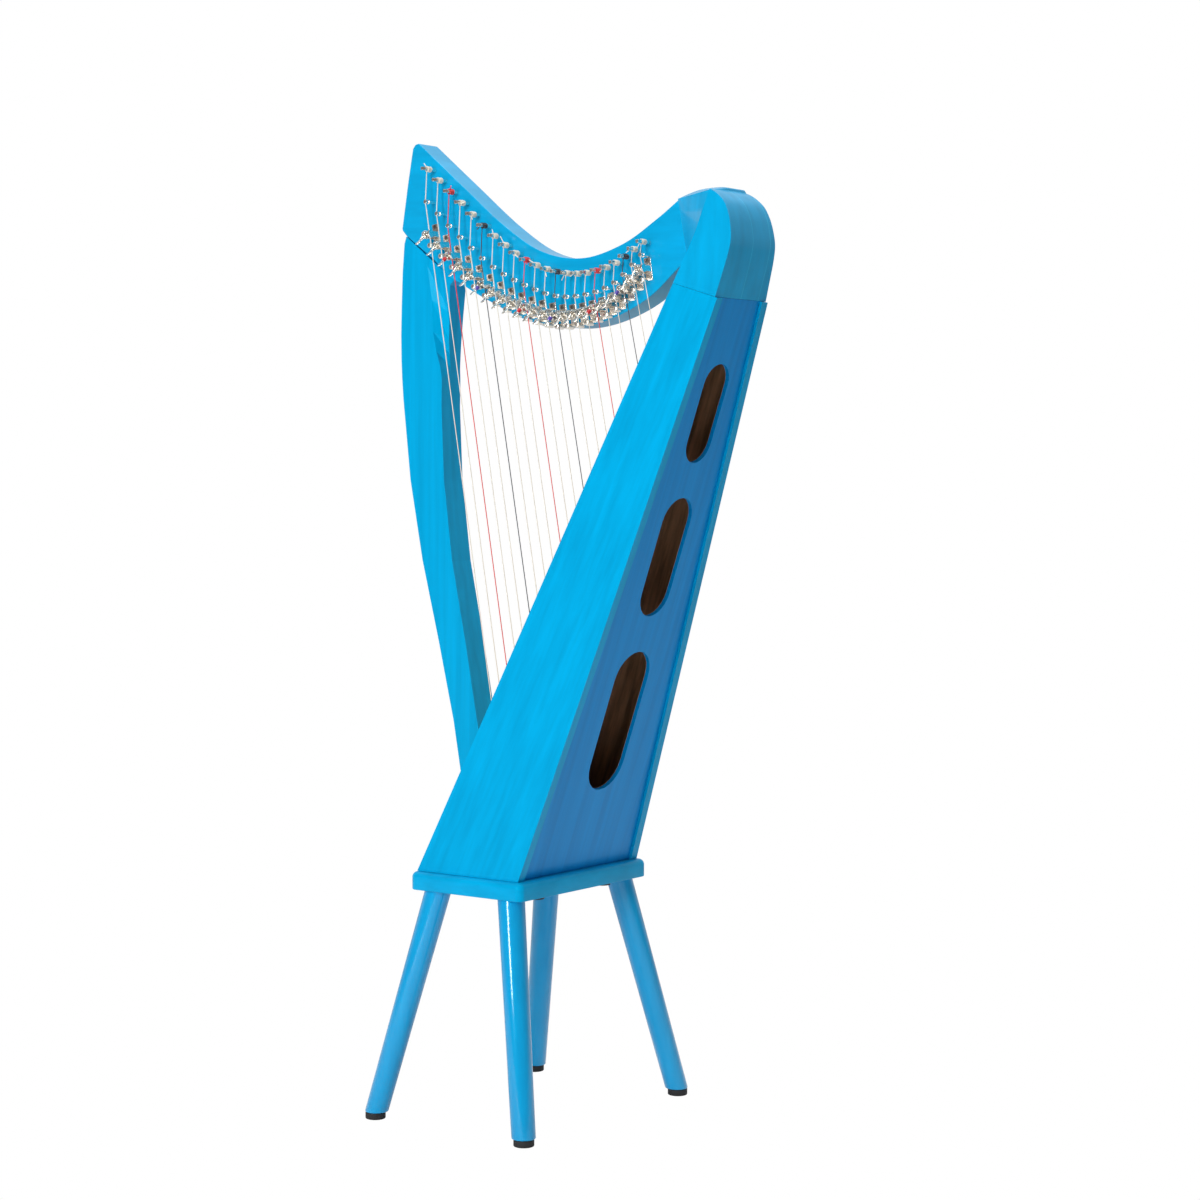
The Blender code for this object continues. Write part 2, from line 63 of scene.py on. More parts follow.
# Roundings of the base plate (inset, rise), bumper (share of height and radius), leg (rise, inset)
# and foot (height, inset), with the steps and sides they are drawn in
PLATE_LOWER_EDGE = ((0.0015, 0), (0.0004, 0.0004), (0, 0.0015))
BUMPER_PROFILE = ((0.0001 / BUMPER_HEIGHT, 1.0), (0.75, 1.0), (0.93, 0.94), (1.0, 0.84))
LEG_LOWER_EDGE = ((0, 0.0017), (0.0003, 0.0008), (0.0009, 0.0002), (0.0016, 0))
FOOT_PROFILE = ((0, 0.0012), (0.0003, 0.0005), (0.0011, 0), (FOOT_HEIGHT - 0.0006, 0),
                (FOOT_HEIGHT, 0.0005))
CORNER_STEPS = 8
EDGE_STEPS = 9
LEG_SIDES = 64
FOOT_SIDES = 48

# Soundbox: a tapering box whose front and back edges lean away from the pillar
HALF_WIDTH = 0.122
SIDE_TAPER = 0.1003
FRONT_X = -0.0784
FRONT_LEAN = 0.4584
REAR_X = 0.0738
REAR_LEAN = 0.3377
SIDE_THICKNESS = 0.012
BACK_INSET = 0.0035
BACK_THICKNESS = 0.0055
GAP = 0.0003

# Neck
NECK_THICKNESS = 0.037
NECK_TOP = ((-.1775, 1.1869), (-.1105, 1.1326), (-.0429, 1.0788), (.0150, 1.0447), (.0750, 1.0343),
            (.1333, 1.0483), (.1804, 1.0742), (.2150, 1.0973))
NECK_UNDER = ((.2300, 1.0310), (.2107, 1.0147), (.1755, .9863), (.1336, .9660), (.0872, .9540),
              (.0427, .9531), (-.0087, .9630), (-.0687, .9891), (-.1237, 1.0172))
HEAD = ((-.1237, 1.0172), (-.1569, 1.0444), (-.1971, 1.0732), (-.2033, 1.0798), (-.2041, 1.0822),
        (-.1952, 1.1365), (-.1870, 1.1807), (-.1830, 1.1858), (-.1775, 1.1869))
NECK_END = ((.2450, 1.0800), (.2450, 1.0400))
WOOD_EDGE = 0.0012

# Shoulder: the block that joins the neck to the soundbox
SHOULDER_BACK = ((.2927, 1.0963), (.3038, 1.0863), (.3106, 1.0732), (.3144, 1.0597), (.3164, 1.0423),
                 (.3134, 1.0245), (.3080, 1.0053), (.3000, .9778))
SHOULDER_TOP = ((.2124, 1.0970), (.2279, 1.1021), (.2444, 1.1060), (.2650, 1.1073), (.2793, 1.1065),
                (.2820, 1.1027))
SHOULDER_SIDE_FRONT = ((.2411, .9956), (.2536, 1.0228), (.2661, 1.0500), (.2745, 1.0750), (.2822, 1.1000))
SHOULDER_MIDDLE_FRONT = ((.2322, .9983), (.2288, 1.0150), (.2250, 1.0340), (.2170, 1.0740))

# Strings
STRINGS = 22
RED_STRINGS = (3, 10, 17)
BLACK_STRINGS = (6, 13, 20)
BASS_STRING_X = -0.1290
STRING_SPACING = 0.0153
STRING_CLOSING = 0.0000225
STRING_SLANT = 0.155
STRING_LEVEL = 0.950
STRING_RADIUS = (0.00060, 0.00045)
STRING_SIDES = 12
STRING_OUT = 0.0150
STRING_AT_PIN = 0.0102
RIB_WIDTH = 0.020
RIB_THICKNESS = 0.004
RIB_ENDS = (0.352, 0.950)
RIB_EDGE = 0.001
EYELET_PROFILE = ((-0.0002, 0.0026), (0.0006, 0.0024), (0.0009, 0.0014))

# Bridge pins and tuning pins: heights at every third string, bass to treble
BRIDGE_HEIGHTS = (1.1119, 1.0659, 1.0275, 1.0040, .9894, .9897, 1.0020, 1.0327)
TUNING_RISES = (.0403, .0421, .0378, .0303, .0289, .0256, .0235, .0156)
BRIDGE_GROOVE_RADIUS = 0.0018
BRIDGE_HEAD_RADIUS = 0.0027
BRIDGE_SHANK_RADIUS = 0.0015
BRIDGE_LENGTH = 0.0195
TUNING_SHANK_RADIUS = 0.0025
TUNING_SLEEVE_RADIUS = 0.0035
TUNING_SLEEVE = (0.0080, 0.0170)
TUNING_SQUARE = 0.0042
TUNING_LENGTH = 0.0255
TUNING_DEPTH = 0.028
STEPS_PER_TURN = 14
TAIL_ROOT_RADIUS = 0.0022
TAIL_TURN = 0.6
TAIL_LENGTHS = (0.005, 0.009)

# Sharping levers
LEVER_DROP = (0.010, 0.041)
LEVER_AXIS_OUT = 0.0164
LEVER_REST = math.radians(35)
LEVER_LENGTH = 0.0224
LEVER_SIDE = -0.0060
DOME_RADIUS = 0.0055
AXLE_RADIUS = 0.0012
AXLE_ENDS = (-0.0050, 0.0017)
BRACKET_SIZE = (0.0095, 0.027, 0.002)
CHEEK_OUT = 0.0205
LEFT_CHEEK = (-0.0036, -0.0020)
RIGHT_CHEEK = (0.0020, 0.0046)
CHEEK_HALF = 0.0050
CHEEK_ROOT = 0.0005
BOSS_AT = (-0.0049, -0.0128)
BOSS_RADIUS = 0.0035
BOSS_OUT = 0.012
BRACKET_SHIFT = 0.0003
CHEEK_ROUND = 0.0015
CHEEK_STEM = 0.0035
CHEEK_DISC_RADIUS = DOME_RADIUS - 0.0003
SCREW_RISE = 0.0100
SUNK = 0.001

# Profiles along an axis: post (distance out, share of radius), screw (distance out, radius), dome
# (place on the axle, share of radius), and along the handle (share of length, then half sizes)
BOSS_PROFILE = ((-SUNK, 1.0), (BOSS_OUT - 0.0012, 1.0), (BOSS_OUT - 0.0004, 0.9), (BOSS_OUT, 0.7))
SCREW_PROFILE = ((0.0015, 0.0026), (0.0026, 0.0026), (0.0032, 0.0020), (0.0034, 0.0008))
DOME_PROFILE = ((-.0080, .42), (-.0077, .66), (-.0072, .84), (-.0062, .97), (-.0050, 1.0), (-.0041, 1.0),
                (-.0039, .96))
HANDLE_STATIONS = ((.13, .0016, .0022), (.36, .0013, .0014), (.54, .0013, .0012), (.74, .0027, .0010),
                   (.90, .0032, .0009), (.97, .0026, .0008), (1.0, .0014, .0005))
COLLAR_PROFILE = ((.20, .0023), (.23, .0026), (.40, .0021), (.46, .0017))


def add_loft(bm, rings):
    loops = [[bm.verts.new(p) for p in ring] for ring in rings]
    count = len(loops[0])
    for lower, upper in zip(loops, loops[1:]):
        for i in range(count):
            j = (i + 1) % count
            bm.faces.new((lower[i], lower[j], upper[j], upper[i]))
    bm.faces.new(loops[0][::-1])
    bm.faces.new(loops[-1])


def curve_through(points, steps):
    """A smooth curve through the points, with this many steps between two of them."""
    pts = [np.array(p, float) for p in points]
    pts = [2 * pts[0] - pts[1], *pts, 2 * pts[-1] - pts[-2]]
    out = []
    for a, b, c, d in zip(pts, pts[1:], pts[2:], pts[3:]):
        for k in range(steps):
            t = k / steps
            out.append(0.5 * (2 * b + (c - a) * t + (2 * a - 5 * b + 4 * c - d) * t ** 2
                              + (3 * b - a - 3 * c + d) * t ** 3))
    out.append(pts[-2])
    return [tuple(float(v) for v in point) for point in out]


def circle(centre, radius, sides, across=(1, 0, 0), up=(0, 1, 0)):
    centre, across, up = Vector(centre), Vector(across), Vector(up)
    turns = [2 * math.pi * (i + 0.5) / sides for i in range(sides)]
    return [centre + radius * (math.cos(a) * across + math.sin(a) * up) for a in turns]


def turned(profile, sides, x=0, z=0):
    """Rings of a round piece that stands out to -Y. The profile is pairs of distance out and radius."""
    return [circle((x, -out, z), radius, sides, (1, 0, 0), (0, 0, 1)) for out, radius in profile]


def flat_piece(points_xz, y_low, y_high):
    """Rings of a plate whose side view is the outline, from one depth to the other."""
    return [[(PLATE_X + x, y, z) for x, z in points_xz] for y in (y_low, y_high)]


def half_width(z):
    return HALF_WIDTH - SIDE_TAPER * (z - PLATE_TOP)


def leaning_inset(distance, lean):
    return distance * math.hypot(1, lean)


def string_x(index, z):
    x = BASS_STRING_X + STRING_SPACING * index - STRING_CLOSING * index ** 2
    return PLATE_X + x - STRING_SLANT * (z - STRING_LEVEL)


def along_strings(values, index):
    """The value at one string, on a smooth curve through a value for every third string."""
    curve = curve_through([(v,) for v in values], 3)
    return float(curve[index][0])


def string_radius(index):
    bass, treble = STRING_RADIUS
    return bass + (treble - bass) * index / (STRINGS - 1)


def bridge_point(index):
    z = along_strings(BRIDGE_HEIGHTS, index)
    x = string_x(index, z) + BRIDGE_GROOVE_RADIUS + GAP + string_radius(index)
    return Vector((x, 0, z))


def tuning_point(index):
    bridge = bridge_point(index)
    return Vector((bridge.x, 0, bridge.z + along_strings(TUNING_RISES, index)))


def string_foot(index):
    """Where the string meets the front of the rib."""
    rib_x = PLATE_X + FRONT_X - leaning_inset(RIB_THICKNESS + GAP, FRONT_LEAN)
    z = (string_x(index, 0) - rib_x + FRONT_LEAN * PLATE_TOP) / (FRONT_LEAN + STRING_SLANT)
    return Vector((string_x(index, z), 0, z))


def lever_point(index):
    bridge = bridge_point(index)
    drop = LEVER_DROP[0] + LEVER_DROP[1] * (bridge - string_foot(index)).length
    z = bridge.z - drop
    return Vector((string_x(index, z), 0, z))


def lever_frame(index):
    """Local X is the lever's axle, square to the string. Local Z runs up the string."""
    tilt = Matrix.Rotation(-math.atan(STRING_SLANT), 4, "Y")
    return Matrix.Translation(lever_point(index)) @ tilt


def bridge_profile():
    head, groove, end = BRIDGE_HEAD_RADIUS, BRIDGE_GROOVE_RADIUS, BRIDGE_LENGTH
    return ((-4 * SUNK, BRIDGE_SHANK_RADIUS), (STRING_OUT - 0.0026, BRIDGE_SHANK_RADIUS),
            (STRING_OUT - 0.0022, head), (STRING_OUT - 0.0016, head), (STRING_OUT - 0.0011, groove),
            (STRING_OUT + 0.0011, groove), (STRING_OUT + 0.0016, head), (end - 0.0006, head),
            (end, head - 0.0006))


def box_rings(sides, centre):
    (sx, sy, sz), (cx, cy, cz) = sides, centre
    return [[Vector((cx + a * sx / 2, y, cz + b * sz / 2)) for a, b in ((-1, -1), (1, -1), (1, 1), (-1, 1))]
            for y in (cy - sy / 2, cy + sy / 2)]


def bracket_base():
    width, height, thickness = BRACKET_SIZE
    return box_rings((width, thickness + SUNK, height), (BRACKET_SHIFT, (SUNK - thickness) / 2, 0))


def left_cheek():
    """A plate with a slot that is open to the front and carries the axle."""
    slot = AXLE_RADIUS + GAP
    half, tip = CHEEK_HALF, CHEEK_OUT
    root = -CHEEK_ROOT
    outline = ((root, -half), (root, half), (-tip + CHEEK_ROUND, half), (-tip, half - CHEEK_ROUND),
               (-tip, slot), (-LEVER_AXIS_OUT + slot, slot), (-LEVER_AXIS_OUT + slot, -slot), (-tip, -slot),
               (-tip, -half + CHEEK_ROUND), (-tip + CHEEK_ROUND, -half))
    return [[Vector((x, y, z)) for y, z in outline] for x in LEFT_CHEEK]


def right_cheek():
    """A round plate on a stem, which carries the other end of the axle."""
    stem, radius = CHEEK_STEM, CHEEK_DISC_RADIUS
    start = math.asin(stem / radius)
    outline = [(-CHEEK_ROOT, -stem), (-CHEEK_ROOT, stem)]
    for step in range(9):
        a = start + (2 * math.pi - 2 * start) * step / 8
        outline.append((-LEVER_AXIS_OUT + radius * math.cos(a), radius * math.sin(a)))
    return [[Vector((x, y, z)) for y, z in outline] for x in RIGHT_CHEEK]


def string_rings(index):
    """The rings of one string: from inside the rib, past the bridge pin, up to the tuning pin."""
    radius = string_radius(index)
    foot, bridge, pin = string_foot(index), bridge_point(index), tuning_point(index)
    start = Vector((string_x(index, bridge.z), -STRING_OUT, bridge.z))
    end = Vector((pin.x - TUNING_SLEEVE_RADIUS - GAP - radius, -STRING_AT_PIN, pin.z))
    sunk = foot + (foot - start).normalized() * 0.002
    points = (sunk, start, end)
    rings = []
    for i, point in enumerate(points):
        before = (point - points[max(i - 1, 0)]).normalized()
        after = (points[min(i + 1, 2)] - point).normalized()
        along = (before + after).normalized()
        across = Vector((0, 1, 0)).cross(along).normalized()
        rings.append(circle(point, radius, STRING_SIDES, across, along.cross(across)))
    return rings


# Meshes
WELD = 0.00002
SMOOTH_ANGLE = math.radians(35)
BEVEL_ANGLE = math.radians(40)

# Camera, fitted to the photograph: angles in degrees, lens in millimetres
CAMERA_AT = (1.9035, -2.5957, 0.7847)
CAMERA_AZIMUTH = 35.56
CAMERA_PITCH = -2.843
CAMERA_ROLL = 0.239
CAMERA_LENS = 80.15
CAMERA_SENSOR = 36.0

# Lights: brightness of the world, and each lamp's place, size and power in watts
ROOM_LIGHT = 0.16
BACKDROP_LIGHT = 0.70
KEY_LAMP = ((0.9, -3.6, 2.6), (1.8, 1.8), 50)
STRIP_LAMP = ((0.15, -3.4, 1.3), (0.6, 1.4), 66)
TOP_LAMP = ((0.3, 0.4, 3.0), (1.5, 1.5), 42)
LAMPS_AIM = (0, 0, 0.6)
FLOOR_SIZE = 24

# Colours, each as the darker and the lighter end of the grain
BLUE_LOW, BLUE_HIGH = (0.0, 0.29, 0.56), (0.0, 0.37, 0.70)
# The back panel's blue is the side's blue lacquer painted darker and deeper: painted shade for the back,
# which faces away from the lamps
SHADED_BLUE_LOW, SHADED_BLUE_HIGH = (0.0, 0.21, 0.58), (0.0, 0.28, 0.72)
LEG_BLUE_LOW, LEG_BLUE_HIGH = (0.0, 0.29, 0.60), (0.0, 0.33, 0.66)
GLUE_LOW, GLUE_HIGH = (0.0, 0.45, 0.72), (0.05, 0.60, 0.85)
BROWN_LOW, BROWN_HIGH = (0.20, 0.105, 0.056), (0.52, 0.29, 0.165)
SPRUCE_LOW, SPRUCE_HIGH = (0.42, 0.25, 0.11), (0.66, 0.45, 0.22)
GLOSS_TINT = (0.0, 0.75, 1.0, 1)
GLUE_LINE = 0.0007
LOOKS = {}


def node_material(name, roughness, metallic=0.0):
    mat = bpy.data.materials.new(name)
    mat.use_nodes = True
    bsdf = mat.node_tree.nodes["Principled BSDF"]
    bsdf.inputs["Roughness"].default_value = roughness
    bsdf.inputs["Metallic"].default_value = metallic
    LOOKS[name] = mat
    return mat, mat.node_tree.nodes, mat.node_tree.links, bsdf


def ramp_node(nodes, low, high, start=0.3, end=0.7):
    ramp = nodes.new("ShaderNodeValToRGB")
    ramp.color_ramp.elements[0].color = (*low, 1)
    ramp.color_ramp.elements[1].color = (*high, 1)
    ramp.color_ramp.elements[0].position = start
    ramp.color_ramp.elements[1].position = end
    return ramp


def grain_nodes(nodes, links, lean, along=3.0, across=90.0):
    """Streaks that run up the piece, tipped over by the lean."""
    coords = nodes.new("ShaderNodeTexCoord")
    turn = nodes.new("ShaderNodeMapping")
    turn.inputs["Rotation"].default_value = (0, -math.atan(lean), 0)
    stretch = nodes.new("ShaderNodeMapping")
    stretch.inputs["Scale"].default_value = (across, across, along)
    grain = nodes.new("ShaderNodeTexNoise")
    grain.inputs["Scale"].default_value = 1.0
    grain.inputs["Detail"].default_value = 6.0
    grain.inputs["Roughness"].default_value = 0.6
    links.new(coords.outputs["Object"], turn.inputs["Vector"])
    links.new(turn.outputs["Vector"], stretch.inputs["Vector"])
    links.new(stretch.outputs["Vector"], grain.inputs["Vector"])
    return grain


def lacquer(name, lean, low=BLUE_LOW, high=BLUE_HIGH, along=3.0, across=90.0, coat=0.08, inner=None,
            bare_low=BROWN_LOW, bare_high=BROWN_HIGH):
    """Blue lacquer over faint grain. Where the inner mask is one, the bare colours show."""
    _, nodes, links, bsdf = node_material(name, 0.40)
    grain = grain_nodes(nodes, links, lean, along, across)
    ramp = ramp_node(nodes, low, high)
    links.new(grain.outputs["Fac"], ramp.inputs["Fac"])
    colour = ramp.outputs["Color"]
    if inner is not None:
        bare = ramp_node(nodes, bare_low, bare_high, 0.35, 0.65)
        links.new(grain.outputs["Fac"], bare.inputs["Fac"])
        mix = nodes.new("ShaderNodeMix")
        mix.data_type = "RGBA"
        links.new(inner(nodes, links), mix.inputs["Factor"])
        links.new(colour, mix.inputs["A"])
        links.new(bare.outputs["Color"], mix.inputs["B"])
        colour = mix.outputs["Result"]
    links.new(colour, bsdf.inputs["Base Color"])
    bump = nodes.new("ShaderNodeBump")
    bump.inputs["Strength"].default_value = 0.05
    bump.inputs["Distance"].default_value = 0.0005
    links.new(grain.outputs["Fac"], bump.inputs["Height"])
    links.new(bump.outputs["Normal"], bsdf.inputs["Normal"])
    bsdf.inputs["Specular IOR Level"].default_value = 0.35
    bsdf.inputs["Specular Tint"].default_value = GLOSS_TINT
    bsdf.inputs["Coat Weight"].default_value = coat
    bsdf.inputs["Coat Roughness"].default_value = 0.10


def plain(name, colour, roughness, metallic=0.0):
    """One colour with fine, slightly darker specks."""
    _, nodes, links, bsdf = node_material(name, roughness, metallic)
    noise = nodes.new("ShaderNodeTexNoise")
    noise.inputs["Scale"].default_value = 150.0
    ramp = ramp_node(nodes, [0.85 * c for c in colour], colour)
    links.new(noise.outputs["Fac"], ramp.inputs["Fac"])
    links.new(ramp.outputs["Color"], bsdf.inputs["Base Color"])


def object_axes(nodes, links):
    """The shaded point's X, Y and Z."""
    coords = nodes.new("ShaderNodeTexCoord")
    split = nodes.new("ShaderNodeSeparateXYZ")
    links.new(coords.outputs["Object"], split.inputs["Vector"])
    return split.outputs["X"], split.outputs["Y"], split.outputs["Z"]


def maths(nodes, links, operation, a, b):
    """A maths node for two values, each a number or another node's output."""
    node = nodes.new("ShaderNodeMath")
    node.operation = operation
    for socket, value in zip(node.inputs, (a, b)):
        if isinstance(value, (int, float)):
            socket.default_value = value
        else:
            links.new(value, socket)
    return node.outputs["Value"]


def behind_back(nodes, links, depth):
    """One where the point is deeper than this under the back edges of the soundbox."""
    x, _, z = object_axes(nodes, links)
    lean = maths(nodes, links, "MULTIPLY", z, -REAR_LEAN)
    across = maths(nodes, links, "ADD", x, lean)
    limit = PLATE_X + REAR_X - REAR_LEAN * PLATE_TOP - leaning_inset(depth, REAR_LEAN)
    return maths(nodes, links, "LESS_THAN", across, limit)


def inner_side(nodes, links):
    """One on the inner face of a side panel, zero elsewhere."""
    _, y, z = object_axes(nodes, links)
    out = maths(nodes, links, "ABSOLUTE", y, 0)
    fall = maths(nodes, links, "MULTIPLY", z, SIDE_TAPER)
    reach = maths(nodes, links, "ADD", out, fall)
    limit = HALF_WIDTH + SIDE_TAPER * PLATE_TOP - SIDE_THICKNESS + 0.0004
    facing_in = maths(nodes, links, "LESS_THAN", reach, limit)
    return maths(nodes, links, "MULTIPLY", facing_in, behind_back(nodes, links, BACK_INSET + 0.001))


def inner_back(nodes, links):
    """One on the inner face of the back panel, zero elsewhere."""
    return behind_back(nodes, links, BACK_INSET + BACK_THICKNESS - 0.0006)


def glue_lines(nodes, links):
    """One on the two thin lines where the cheeks meet the middle ply, zero elsewhere."""
    _, y, _ = object_axes(nodes, links)
    centred = maths(nodes, links, "SUBTRACT", y, NECK_THICKNESS / 2)
    out = maths(nodes, links, "ABSOLUTE", centred, 0)
    off_line = maths(nodes, links, "SUBTRACT", out, NECK_THICKNESS / 2)
    distance = maths(nodes, links, "ABSOLUTE", off_line, 0)
    return maths(nodes, links, "LESS_THAN", distance, GLUE_LINE / 2)


def make_looks():
    lean = (FRONT_LEAN + REAR_LEAN) / 2
    lacquer("lacquer_side", lean, inner=inner_side)
    # The back panel gets the darker blue: painted shade, not a different lacquer
    lacquer("lacquer_back_painted_shade", REAR_LEAN, low=SHADED_BLUE_LOW, high=SHADED_BLUE_HIGH, inner=inner_back)
    lacquer("lacquer_post", 0.0)
    lacquer("lacquer_neck", 0.0, along=60.0, across=8.0, coat=0.5)
    lacquer("lacquer_shoulder", 0.0, along=8.0, across=60.0, coat=0.3, inner=glue_lines,
            bare_low=GLUE_LOW, bare_high=GLUE_HIGH)
    lacquer("lacquer_plate", 0.0, along=60.0, across=20.0)
    lacquer("lacquer_leg", 0.0, low=LEG_BLUE_LOW, high=LEG_BLUE_HIGH, coat=1.0)
    _, nodes, links, bsdf = node_material("spruce", 0.45)
    grain = grain_nodes(nodes, links, FRONT_LEAN, 4.0, 160.0)
    ramp = ramp_node(nodes, SPRUCE_LOW, SPRUCE_HIGH)
    links.new(grain.outputs["Fac"], ramp.inputs["Fac"])
    links.new(ramp.outputs["Color"], bsdf.inputs["Base Color"])
    plain("nickel", (0.95, 0.91, 0.84), 0.24, 1.0)
    plain("dark_steel", (0.22, 0.20, 0.18), 0.30, 1.0)
    plain("brass", (0.75, 0.55, 0.25), 0.28, 1.0)
    plain("black_rubber", (0.018, 0.018, 0.020), 0.75)
    plain("string_cream", (0.80, 0.76, 0.66), 0.35)
    plain("string_red", (0.75, 0.03, 0.03), 0.35)
    plain("string_black", (0.03, 0.03, 0.04), 0.35)
    plain("enamel_red", (0.70, 0.02, 0.03), 0.30)
    plain("enamel_blue", (0.10, 0.06, 0.45), 0.30)
    plain("rib_wood", (0.30, 0.16, 0.07), 0.45)


def new_piece(name, solids, look, body, replaces=(), bevel=0.0):
    """A shown piece made of lofts, which moves with a body of the frame."""
    bm = bmesh.new()
    for rings in solids:
        add_loft(bm, rings)
    bmesh.ops.remove_doubles(bm, verts=bm.verts, dist=WELD)
    bmesh.ops.recalc_face_normals(bm, faces=bm.faces)
    mesh = bpy.data.meshes.new(name)
    bm.to_mesh(mesh)
    bm.free()
    obj = bpy.data.objects.new(name, mesh)
    bpy.context.scene.collection.objects.link(obj)
    mesh.materials.append(LOOKS[look])
    mesh.shade_smooth()
    mesh.set_sharp_from_angle(angle=SMOOTH_ANGLE)
    if bevel:
        edge = obj.modifiers.new("rounded edges", "BEVEL")
        edge.width = bevel
        edge.segments = 3
        edge.limit_method = "ANGLE"
        edge.angle_limit = BEVEL_ANGLE
        edge.harden_normals = True
    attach(obj, body)
    if replaces:
        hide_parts(*replaces)


def at(place, shape):
    return [[place @ Vector(p) for p in ring] for ring in shape]


def dress_frame():
    looks = {"side_left": "lacquer_side", "side_right": "lacquer_side", "back_panel": "lacquer_back_painted_shade",
             "soundboard": "spruce", "pillar": "lacquer_post"}
    for name, look in looks.items():
        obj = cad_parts[name]
        obj.data.materials.clear()
        obj.data.materials.append(LOOKS[look])


def plate_ring(inset, z):
    """The base plate's outline with round corners, this far in from its edges."""
    corner = max(PLATE_CORNER_ROUND - inset, PLATE_CORNER_LEAST)
    points = []
    for sx, sy, start in ((1, 1, 0), (-1, 1, 90), (-1, -1, 180), (1, -1, 270)):
        cx = PLATE_X + sx * (PLATE_LENGTH / 2 - inset - corner)
        cy = sy * (PLATE_WIDTH / 2 - inset - corner)
        for step in range(CORNER_STEPS + 1):
            a = math.radians(start + 90 / CORNER_STEPS * step)
            points.append((cx + corner * math.cos(a), cy + corner * math.sin(a), z))
    return points


def make_base_plate():
    rings = [plate_ring(inset, PLATE_UNDERSIDE + rise) for inset, rise in PLATE_LOWER_EDGE]
    for step in range(EDGE_STEPS + 1):
        a = math.radians(90 / EDGE_STEPS * step)
        inset = PLATE_EDGE_ROUND * (1 - math.cos(a))
        rings.append(plate_ring(inset, PLATE_TOP - PLATE_EDGE_ROUND * (1 - math.sin(a))))
    new_piece("base_plate_wood", [rings], "lacquer_plate", "frame", ("base_plate",))
    bumpers = []
    for sx in (-1, 1):
        for sy in (-1, 1):
            spot = (PLATE_X + sx * BUMPER_AT[0], sy * BUMPER_AT[1])
            levels = [(PLATE_UNDERSIDE - share * BUMPER_HEIGHT, width * BUMPER_RADIUS)
                      for share, width in BUMPER_PROFILE]
            bumpers.append([circle((*spot, z), radius, 32) for z, radius in levels])
    new_piece("bumpers", bumpers, "black_rubber", "frame")


def make_legs():
    """Turned legs and their rubber feet, over the plainer ones of the frame."""
    for end, sx in (("front", -1), ("rear", 1)):
        for side, sy in (("left", -1), ("right", 1)):
            def axis_at(z):
                t = 1 - z / PLATE_UNDERSIDE
                return (PLATE_X + sx * (LEG_TOP_AT[0] + t * (LEG_FOOT_AT[0] - LEG_TOP_AT[0])),
                        sy * (LEG_TOP_AT[1] + t * (LEG_FOOT_AT[1] - LEG_TOP_AT[1])), z)
            name = f"{end}_{side}"
            wood = [circle(axis_at(FOOT_HEIGHT + GAP + rise), LEG_FOOT_RADIUS - inset, LEG_SIDES)
                    for rise, inset in LEG_LOWER_EDGE]
            wood.append(circle(axis_at(PLATE_UNDERSIDE - GAP), LEG_TOP_RADIUS, LEG_SIDES))
            new_piece(f"leg_{name}_wood", [wood], "lacquer_leg", "frame", (f"leg_{name}",))
            x, y, _ = axis_at(FOOT_HEIGHT / 2)
            rubber = [circle((x, y, z), FOOT_RADIUS - inset, FOOT_SIDES) for z, inset in FOOT_PROFILE]
            new_piece(f"foot_{name}_rubber", [rubber], "black_rubber", "frame",
                      (f"foot_{name}",))


def smooth_shoulder_rings(steps):
    """The shoulder's four outlines, with this many points for each stretch."""
    back = curve_through(SHOULDER_TOP[-1:] + SHOULDER_BACK, steps)[1:]
    top = curve_through(SHOULDER_TOP, steps)
    side_front = curve_through(SHOULDER_SIDE_FRONT, steps)
    middle_front = curve_through(SHOULDER_MIDDLE_FRONT + SHOULDER_TOP[:1], steps)
    side = side_front + [SHOULDER_SIDE_FRONT[-1]] * (len(top) - 1) + back
    middle = middle_front + top[1:] + back
    return [[(PLATE_X + x, -half_width(z), z) for x, z in side],
            [(PLATE_X + x, 0, z) for x, z in middle],
            [(PLATE_X + x, NECK_THICKNESS, z) for x, z in middle],
            [(PLATE_X + x, half_width(z), z) for x, z in side]]


def make_neck():
    top, under = curve_through(NECK_TOP, 10), curve_through(NECK_UNDER, 10)
    outline = top + list(NECK_END) + under + list(HEAD[1:-1])
    new_piece("neck_wood", [flat_piece(outline, 0, NECK_THICKNESS)], "lacquer_neck", "frame",
              ("neck",), bevel=WOOD_EDGE)
    new_piece("shoulder_wood", [smooth_shoulder_rings(4)], "lacquer_shoulder", "frame",
              bevel=WOOD_EDGE)


def make_brackets():
    """The fixed parts of the levers, screwed to the neck, and the bridge pins above them."""
    frames = [lever_frame(i) for i in range(STRINGS)]
    plates = [at(f, bracket_base()) for f in frames]
    cheeks = [at(f, shape()) for f in frames for shape in (left_cheek, right_cheek)]
    x, z = BOSS_AT
    post = turned([(out, share * BOSS_RADIUS) for out, share in BOSS_PROFILE], 20, x, z)
    screw = turned(SCREW_PROFILE, 16, BRACKET_SHIFT, SCREW_RISE)
    pin = turned(bridge_profile(), 20)
    new_piece("bracket_plates", plates, "nickel", "frame", bevel=0.0003)
    new_piece("bracket_cheeks", cheeks, "nickel", "frame", bevel=0.0002)
    new_piece("bracket_posts", [at(f, post) for f in frames], "nickel", "frame")
    new_piece("bracket_screws", [at(f, screw) for f in frames], "dark_steel", "frame")
    pins = [at(Matrix.Translation(bridge_point(i)), pin) for i in range(STRINGS)]
    new_piece("bridge_pins", pins, "nickel", "frame")


def string_look(number):
    if number in RED_STRINGS:
        return "string_red"
    return "string_black" if number in BLACK_STRINGS else "string_cream"


